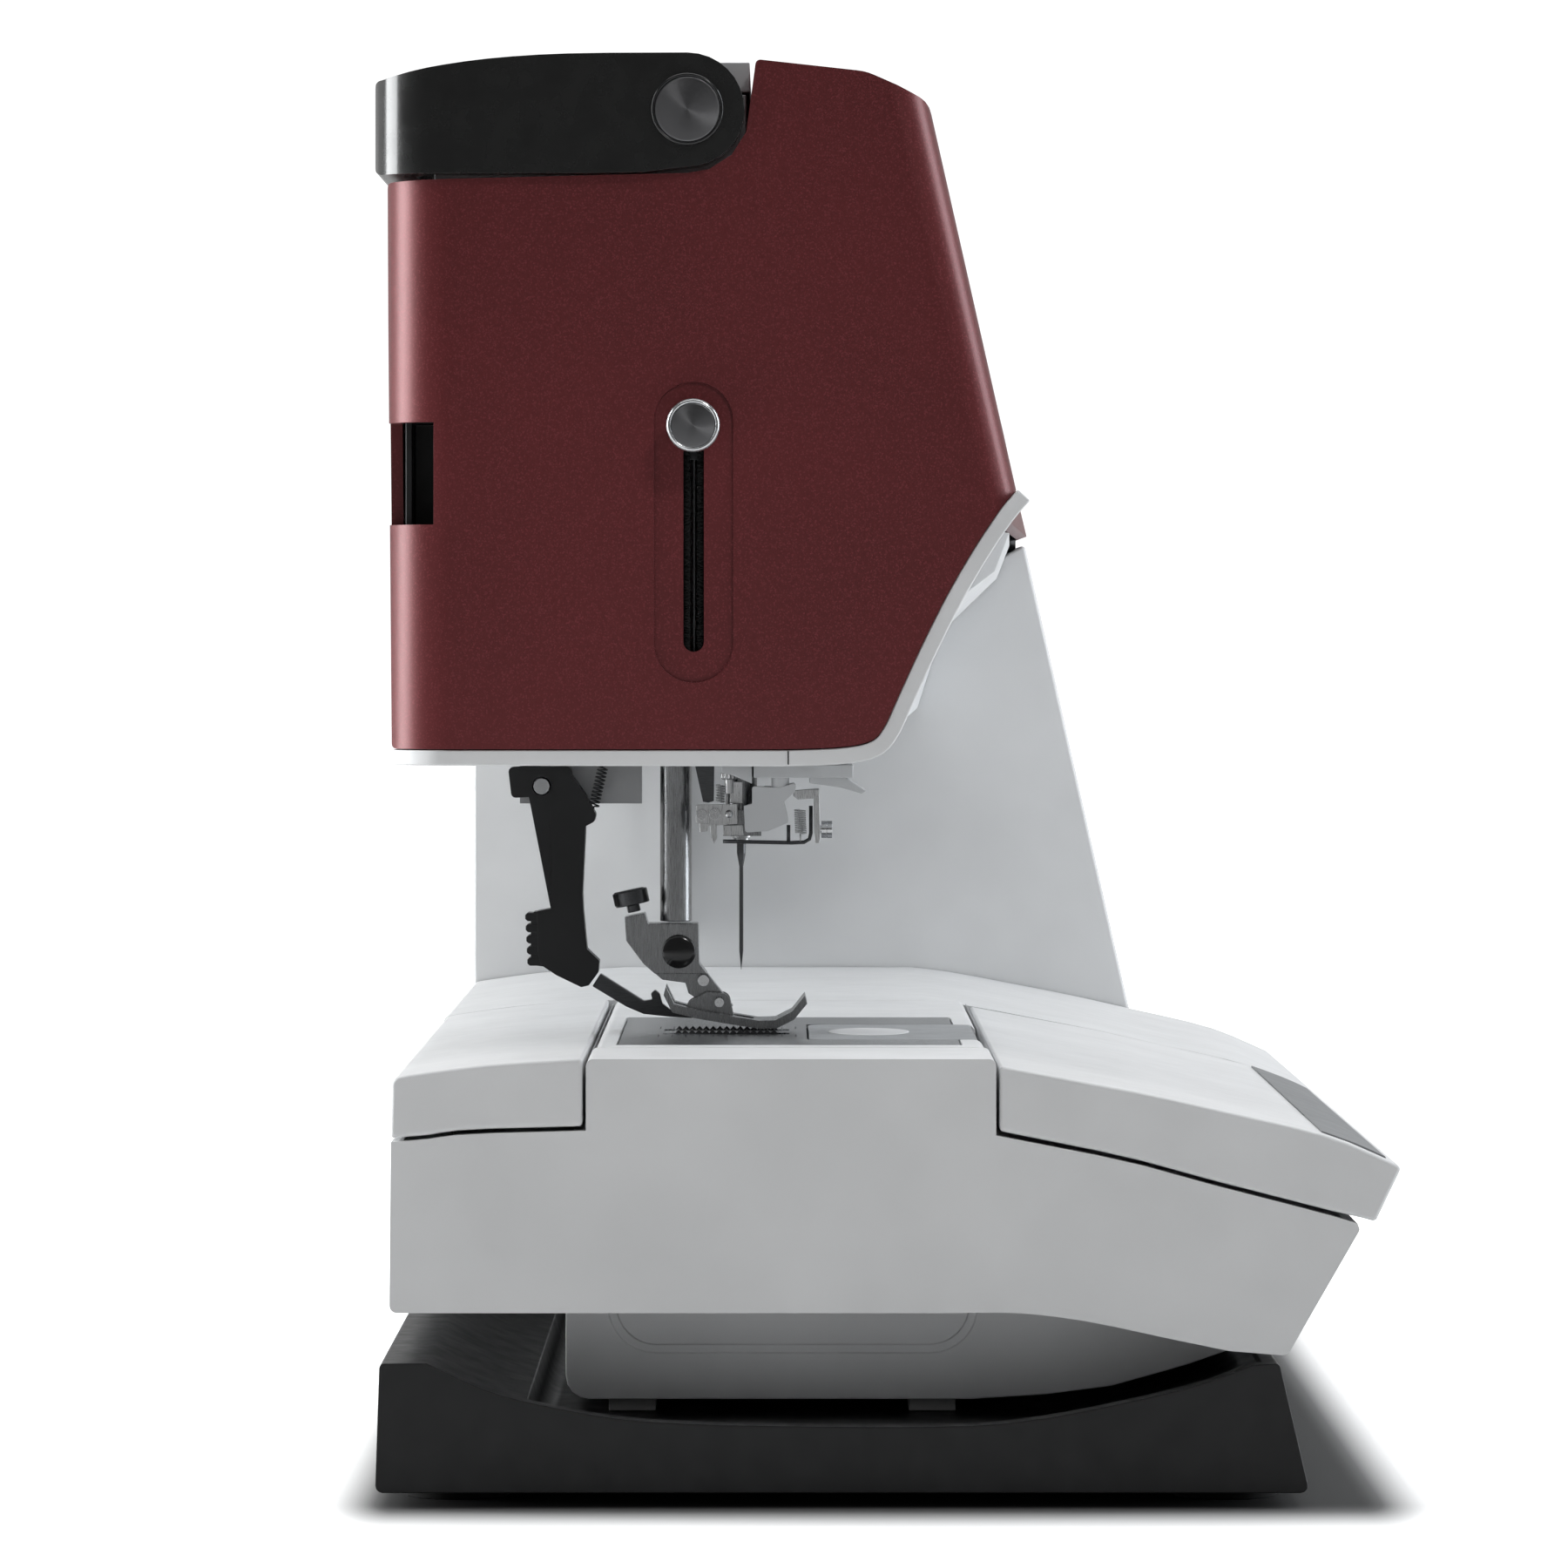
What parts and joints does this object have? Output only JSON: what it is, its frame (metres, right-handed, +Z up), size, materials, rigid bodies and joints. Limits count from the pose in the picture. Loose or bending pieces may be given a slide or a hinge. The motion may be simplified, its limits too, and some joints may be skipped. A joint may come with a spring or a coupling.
{
  "type": "sewing machine",
  "caption": "Long-arm computerised sewing machine with a wine-red head, white bed and column, black carry handle, accessory tray round the free arm and a black plinth.",
  "frame": {"origin": "on the table, under the middle of the machine's bounding box", "axes": "X along the machine with the head end at -X and the handwheel at +X, the operator sits at -Y, Z up"},
  "size_m": [0.6, 0.2159, 0.3052],
  "materials": {
    "base_plinth": "satin black moulding",
    "lower_body_pan": "cool white moulding",
    "free_arm_housing": "cool white moulding",
    "needle_plate": "brushed",
    "bobbin_cover": "grey moulding",
    "feed_dog": "ground",
    "fixed_bed": "cool white moulding",
    "column_cover": "cool white moulding",
    "arm_under_cover": "cool white moulding",
    "front_fascia": "satin metallic wine red",
    "touch_screen": "dark glossy panel",
    "arm_rear_cover": "cool white moulding",
    "right_end_cover": "cool white moulding",
    "head_cover": "satin metallic wine red",
    "accessory_socket_well": "black",
    "head_rim": "cool white moulding",
    "slot_brush": "black bristle",
    "threader_knob": "turned",
    "threader_lever": "plain",
    "threader_guide_rod": "ground",
    "spool_bay": "light grey moulding",
    "top_lid": "light grey moulding",
    "carry_handle": "gloss black",
    "handle_pivot_left": "radially brushed",
    "handle_pivot_right": "radially brushed",
    "spool_pin": "white moulding",
    "bobbin_winder": "white moulding",
    "cast_frame": "as cast",
    "main_shaft": "ground",
    "timing_belt": "black",
    "motor_belt": "black",
    "motor": "dark grey",
    "motor_pulley": "turned",
    "handwheel": "light grey moulding",
    "lower_shaft": "ground",
    "rotary_hook": "polished",
    "bobbin_case": "black",
    "bobbin": "clear moulding",
    "tray_body": "cool white moulding",
    "tray_lid_front": "cool white moulding",
    "tray_lid_rear": "cool white moulding",
    "needle_bar": "ground",
    "needle": "polished",
    "needle_threader": "light grey moulding",
    "presser_foot": "ground",
    "presser_foot_holder": "ground",
    "presser_bar": "ground",
    "foot_thumb_screw": "knurled",
    "dual_feed_arm": "black moulding",
    "dual_feed_foot": "dark",
    "take_up_lever": "polished",
    "power_inlet": "black",
    "power_switch": "black",
    "rubber_foot_front_left": "black",
    "rubber_foot_front_right": "black",
    "rubber_foot_rear_left": "black",
    "rubber_foot_rear_right": "black",
    "head_button_1": "light grey moulding",
    "head_button_2": "light grey moulding",
    "head_button_3": "light grey moulding"
  },
  "bodies": {
    "machine": {"base_plinth": "base_plinth", "rubber_foot_front_left": "rubber_foot_front_left", "rubber_foot_rear_left": "rubber_foot_rear_left", "rubber_foot_front_right": "rubber_foot_front_right", "rubber_foot_rear_right": "rubber_foot_rear_right", "lower_body_pan": "lower_body_pan", "free_arm_housing": "free_arm_housing", "needle_plate": "needle_plate", "fixed_bed": "fixed_bed", "column_cover": "column_cover", "arm_under_cover": "arm_under_cover", "front_fascia": "front_fascia", "touch_screen": "touch_screen", "arm_rear_cover": "arm_rear_cover", "right_end_cover": "right_end_cover", "head_cover": "head_cover", "accessory_socket_well": "accessory_socket_well", "head_rim": "head_rim", "slot_brush": "slot_brush", "threader_guide_rod": "threader_guide_rod", "spool_bay": "spool_bay", "handle_pivot_left": "handle_pivot_left", "handle_pivot_right": "handle_pivot_right", "spool_pin": "spool_pin", "cast_frame": "cast_frame", "motor": "motor", "timing_belt": "timing_belt", "motor_belt": "motor_belt", "power_inlet": "power_inlet", "bobbin_case": "bobbin_case"},
    "handle": {"carry_handle": "carry_handle"},
    "lid": {"top_lid": "top_lid"},
    "tray": {"tray_body": "tray_body"},
    "tray_front_lid": {"tray_lid_front": "tray_lid_front"},
    "tray_rear_lid": {"tray_lid_rear": "tray_lid_rear"},
    "threader_slide": {"threader_lever": "threader_lever", "threader_knob": "threader_knob"},
    "threader": {"needle_threader": "needle_threader"},
    "needle_carrier": {"needle_bar": "needle_bar", "needle": "needle"},
    "presser": {"presser_bar": "presser_bar", "presser_foot_holder": "presser_foot_holder"},
    "foot": {"presser_foot": "presser_foot"},
    "thumb_screw": {"foot_thumb_screw": "foot_thumb_screw"},
    "feed_arm": {"dual_feed_arm": "dual_feed_arm", "dual_feed_foot": "dual_feed_foot"},
    "upper_drive": {"main_shaft": "main_shaft", "handwheel": "handwheel"},
    "lower_drive": {"lower_shaft": "lower_shaft"},
    "hook": {"rotary_hook": "rotary_hook"},
    "motor_rotor": {"motor_pulley": "motor_pulley"},
    "bobbin_spool": {"bobbin": "bobbin"},
    "bobbin_lid": {"bobbin_cover": "bobbin_cover"},
    "feed": {"feed_dog": "feed_dog"},
    "winder": {"bobbin_winder": "bobbin_winder"},
    "take_up": {"take_up_lever": "take_up_lever"},
    "button_1": {"head_button_1": "head_button_1"},
    "button_2": {"head_button_2": "head_button_2"},
    "button_3": {"head_button_3": "head_button_3"},
    "rocker": {"power_switch": "power_switch"}
  },
  "joints": [
    {"name": "handle_hinge", "type": "hinge", "parent": "machine", "child": "handle", "pos_m": [0.0205, 0.0403, 0.293], "axis": [1, 0, 0], "range_deg": [0, 90]},
    {"name": "lid_hinge", "type": "hinge", "parent": "machine", "child": "lid", "pos_m": [0.0205, 0.0966, 0.3002], "axis": [-1, 0, 0], "range_deg": [0, 75]},
    {"name": "tray_slide", "type": "slide", "parent": "machine", "child": "tray", "axis": [-1, 0, 0], "range_m": [0, 0.26]},
    {"name": "tray_front_lid_hinge", "type": "hinge", "parent": "tray", "child": "tray_front_lid", "pos_m": [-0.1787, -0.1027, 0.0593], "axis": [1, 0, 0], "range_deg": [0, 90]},
    {"name": "tray_rear_lid_hinge", "type": "hinge", "parent": "tray", "child": "tray_rear_lid", "pos_m": [-0.1787, 0.101, 0.0765], "axis": [-1, 0, 0], "range_deg": [0, 90]},
    {"name": "threader_lever_slide", "type": "slide", "parent": "machine", "child": "threader_slide", "axis": [0, 0, -1], "range_m": [0, 0.044], "stiffness_N_per_m": 60, "springref_m": -0.02},
    {"name": "threader_drop", "type": "slide", "parent": "machine", "child": "threader", "axis": [0, 0, -1], "range_m": [0, 0.022]},
    {"name": "needle_bar_slide", "type": "slide", "parent": "machine", "child": "needle_carrier", "axis": [0, 0, -1], "range_m": [0, 0.026]},
    {"name": "presser_bar_slide", "type": "slide", "parent": "machine", "child": "presser", "axis": [0, 0, 1], "range_m": [0, 0.007]},
    {"name": "presser_foot_tilt", "type": "hinge", "parent": "presser", "child": "foot", "pos_m": [-0.197, 0.0338, 0.0998], "axis": [-1, 0, 0], "range_deg": [0, 12]},
    {"name": "thumb_screw_turn", "type": "hinge", "parent": "presser", "child": "thumb_screw", "pos_m": [-0.197, 0.0529, 0.121], "axis": [0, 0.2079, 0.9781], "continuous": true},
    {"name": "feed_arm_swing", "type": "hinge", "parent": "machine", "child": "feed_arm", "pos_m": [-0.197, 0.0729, 0.1472], "axis": [1, 0, 0], "range_deg": [0, 4]},
    {"name": "handwheel_turn", "type": "hinge", "parent": "machine", "child": "upper_drive", "pos_m": [0.05, 0.029, 0.236], "axis": [1, 0, 0], "continuous": true},
    {"name": "lower_shaft_turn", "type": "hinge", "parent": "machine", "child": "lower_drive", "pos_m": [0.05, 0.011, 0.051], "axis": [1, 0, 0], "continuous": true},
    {"name": "hook_turn", "type": "hinge", "parent": "machine", "child": "hook", "pos_m": [-0.197, 0.011, 0.073], "axis": [0, 0, 1], "continuous": true},
    {"name": "motor_turn", "type": "hinge", "parent": "machine", "child": "motor_rotor", "pos_m": [0.265, 0.02, 0.128], "axis": [1, 0, 0], "continuous": true},
    {"name": "bobbin_turn", "type": "hinge", "parent": "machine", "child": "bobbin_spool", "pos_m": [-0.197, 0.011, 0.0805], "axis": [0, 0, 1], "continuous": true},
    {"name": "bobbin_cover_lift", "type": "slide", "parent": "machine", "child": "bobbin_lid", "axis": [0, 0, 1], "range_m": [0, 0.03]},
    {"name": "feed_dog_drop", "type": "slide", "parent": "machine", "child": "feed", "axis": [0, 0, -1], "range_m": [0, 0.002]},
    {"name": "winder_turn", "type": "hinge", "parent": "machine", "child": "winder", "pos_m": [0.237, 0.056, 0.275], "axis": [0, 0, 1], "continuous": true},
    {"name": "take_up_swing", "type": "hinge", "parent": "machine", "child": "take_up", "pos_m": [-0.178, 0.002, 0.232], "axis": [-1, 0, 0], "range_deg": [0, 25]},
    {"name": "power_rocker", "type": "hinge", "parent": "machine", "child": "rocker", "pos_m": [0.2812, 0.057, 0.0818], "axis": [0, 1, 0], "range_deg": [-10, 0]},
    {"name": "button_1_press", "type": "slide", "parent": "machine", "child": "button_1", "axis": [0, 0.9755, -0.22], "range_m": [0, 0.0012], "stiffness_N_per_m": 400, "springref_m": -0.001},
    {"name": "button_2_press", "type": "slide", "parent": "machine", "child": "button_2", "axis": [0, 0.9755, -0.22], "range_m": [0, 0.0012], "stiffness_N_per_m": 400, "springref_m": -0.001},
    {"name": "button_3_press", "type": "slide", "parent": "machine", "child": "button_3", "axis": [0, 0.9755, -0.22], "range_m": [0, 0.0012], "stiffness_N_per_m": 400, "springref_m": -0.001}
  ],
  "couplings": [
    {"joint": "lower_shaft_turn", "follows": "handwheel_turn", "ratio": 1},
    {"joint": "hook_turn", "follows": "handwheel_turn", "ratio": -2},
    {"joint": "motor_turn", "follows": "handwheel_turn", "ratio": 3.8571},
    {"joint": "threader_drop", "follows": "threader_lever_slide", "ratio": 0.5}
  ]
}
